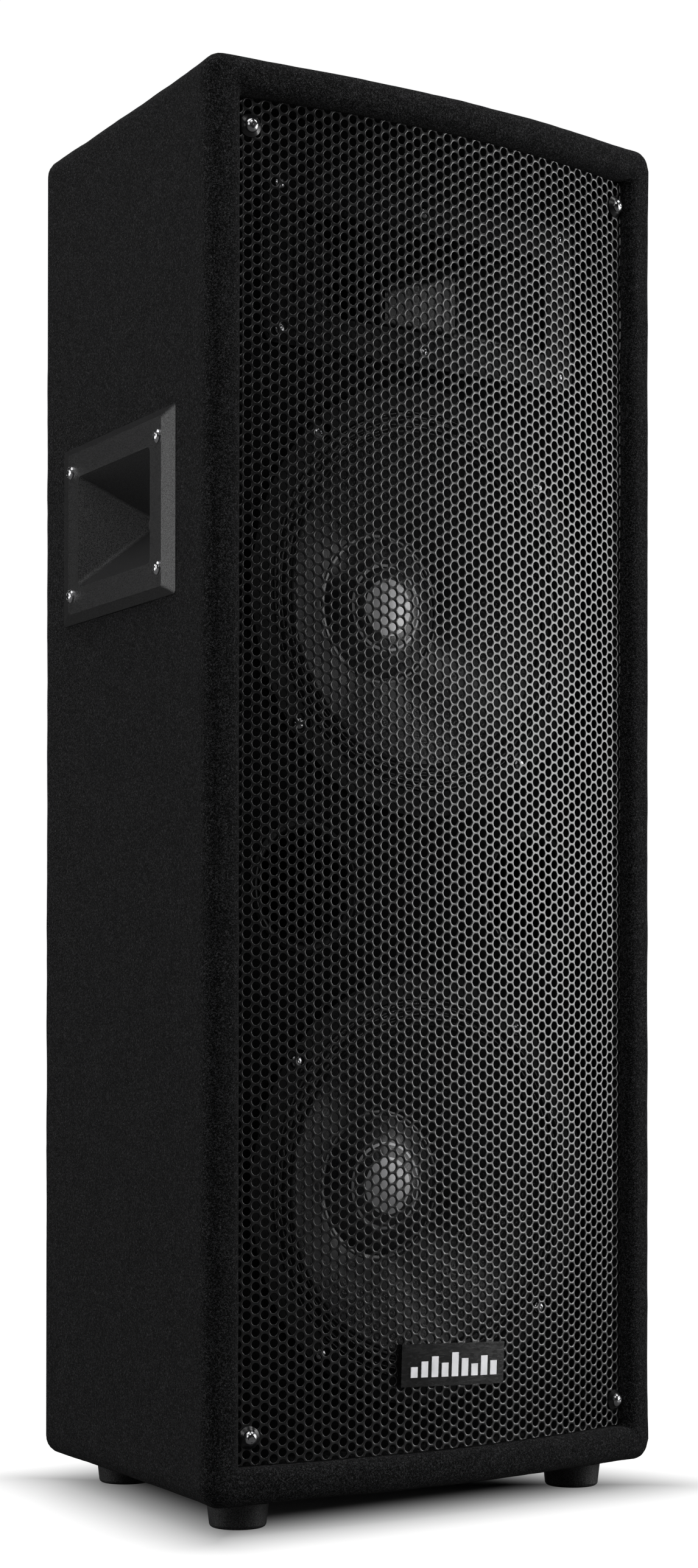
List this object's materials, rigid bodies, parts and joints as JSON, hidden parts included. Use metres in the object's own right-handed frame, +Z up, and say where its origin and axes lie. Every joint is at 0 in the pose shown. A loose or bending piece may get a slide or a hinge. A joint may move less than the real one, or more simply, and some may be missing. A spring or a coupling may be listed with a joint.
{
  "type": "pa speaker cabinet",
  "caption": "Tall carpeted loudspeaker cabinet with large cone drivers, a horn and ports behind a bowed perforated steel grille, side handles and rubber feet.",
  "frame": {"origin": "on the floor, in the middle of the case's footprint", "axes": "+Z up, the grille faces -Y, the rear terminals face +Y"},
  "size_m": [0.4154, 0.3385, 1.01],
  "materials": {
    "plywood": "satin",
    "baffle_black": "matte",
    "carpet": "matte",
    "grille_steel": "satin",
    "screw_black": "satin",
    "cup_black": "gloss",
    "post_plastic": "matte",
    "badge_black": "satin",
    "badge_bars": "satin",
    "basket_steel": "satin",
    "trim_ring": "satin",
    "surround_cloth": "matte",
    "cone_paper": "satin",
    "cap_paper": "satin",
    "copper_coil": "satin",
    "spider_cloth": "matte",
    "ferrite": "matte",
    "plated_steel": "satin",
    "tag_board": "satin",
    "horn_plastic": "satin",
    "throat_alloy": "satin",
    "titanium": "satin",
    "suspension_film": "satin",
    "cover_plastic": "matte",
    "port_plastic": "satin",
    "handle_plastic": "satin",
    "screw_chrome": "polished",
    "foot_rubber": "matte",
    "dish_plastic": "satin",
    "jack_metal": "satin",
    "block_plastic": "matte",
    "lever_red": "gloss",
    "lever_black": "gloss",
    "circuit_board": "satin",
    "crossover_parts": "satin",
    "cable_sheath": "matte",
    "wadding": "matte"
  },
  "bodies": {
    "cabinet": {"top_panel": "plywood", "bottom_panel": "plywood", "side_panel_left": "plywood", "side_panel_right": "plywood", "back_panel": "plywood", "baffle_battens": "plywood", "baffle": "baffle_black", "carpet_cover": "carpet", "grille": "grille_steel", "grille_screws": "screw_black", "woofer_screws": "screw_black", "horn_screws": "screw_black", "terminal_dish_screws": "screw_black", "foot_screws": "screw_black", "grille_cup_washers": "cup_black", "grille_posts": "post_plastic", "badge_plate": "badge_black", "badge_bars": "badge_bars", "upper_basket": "basket_steel", "lower_basket": "basket_steel", "upper_trim_ring": "trim_ring", "lower_trim_ring": "trim_ring", "upper_surround": "surround_cloth", "lower_surround": "surround_cloth", "upper_spider": "spider_cloth", "lower_spider": "spider_cloth", "woofer_magnets": "ferrite", "horn_driver_magnet": "ferrite", "woofer_top_plates": "plated_steel", "woofer_yokes": "plated_steel", "horn_driver_yoke": "plated_steel", "horn_driver_top_plate": "plated_steel", "tag_strips": "tag_board", "horn_flare": "horn_plastic", "horn_throat_plate": "throat_alloy", "horn_diaphragm_suspension": "suspension_film", "horn_rear_cover": "cover_plastic", "port_tubes": "port_plastic", "handle_left": "handle_plastic", "handle_right": "handle_plastic", "handle_screws": "screw_chrome", "feet": "foot_rubber", "terminal_dish": "dish_plastic", "jack_sockets": "jack_metal", "jack_nuts": "jack_metal", "terminal_block": "block_plastic", "crossover_board": "circuit_board", "crossover_parts": "crossover_parts", "wiring_loom": "cable_sheath", "damping_wadding": "wadding"},
    "upper_cone_assembly": {"upper_cone": "cone_paper", "upper_dust_cap": "cap_paper", "upper_voice_coil": "copper_coil"},
    "lower_cone_assembly": {"lower_cone": "cone_paper", "lower_dust_cap": "cap_paper", "lower_voice_coil": "copper_coil"},
    "horn_diaphragm": {"horn_diaphragm": "titanium"},
    "lever_red": {"lever_red": "lever_red"},
    "lever_black": {"lever_black": "lever_black"}
  },
  "joints": [
    {"name": "upper_cone_travel", "type": "slide", "parent": "cabinet", "child": "upper_cone_assembly", "axis": [0, -1, 0], "range_m": [-0.005, 0.005], "stiffness_N_per_m": 4800, "deforming": ["upper_surround", "upper_spider"]},
    {"name": "lower_cone_travel", "type": "slide", "parent": "cabinet", "child": "lower_cone_assembly", "axis": [0, -1, 0], "range_m": [-0.005, 0.005], "stiffness_N_per_m": 4800, "deforming": ["lower_surround", "lower_spider"]},
    {"name": "horn_diaphragm_travel", "type": "slide", "parent": "cabinet", "child": "horn_diaphragm", "axis": [0, -1, 0], "range_m": [-0.0004, 0.0004], "stiffness_N_per_m": 6000, "deforming": ["horn_diaphragm_suspension"]},
    {"name": "lever_red_press", "type": "hinge", "parent": "cabinet", "child": "lever_red", "pos_m": [0.014, 0.1453, 0.527], "axis": [-1, 0, 0], "range_deg": [0, 25], "stiffness_Nm_per_rad": 0.02},
    {"name": "lever_black_press", "type": "hinge", "parent": "cabinet", "child": "lever_black", "pos_m": [0.038, 0.1453, 0.527], "axis": [-1, 0, 0], "range_deg": [0, 25], "stiffness_Nm_per_rad": 0.02}
  ]
}
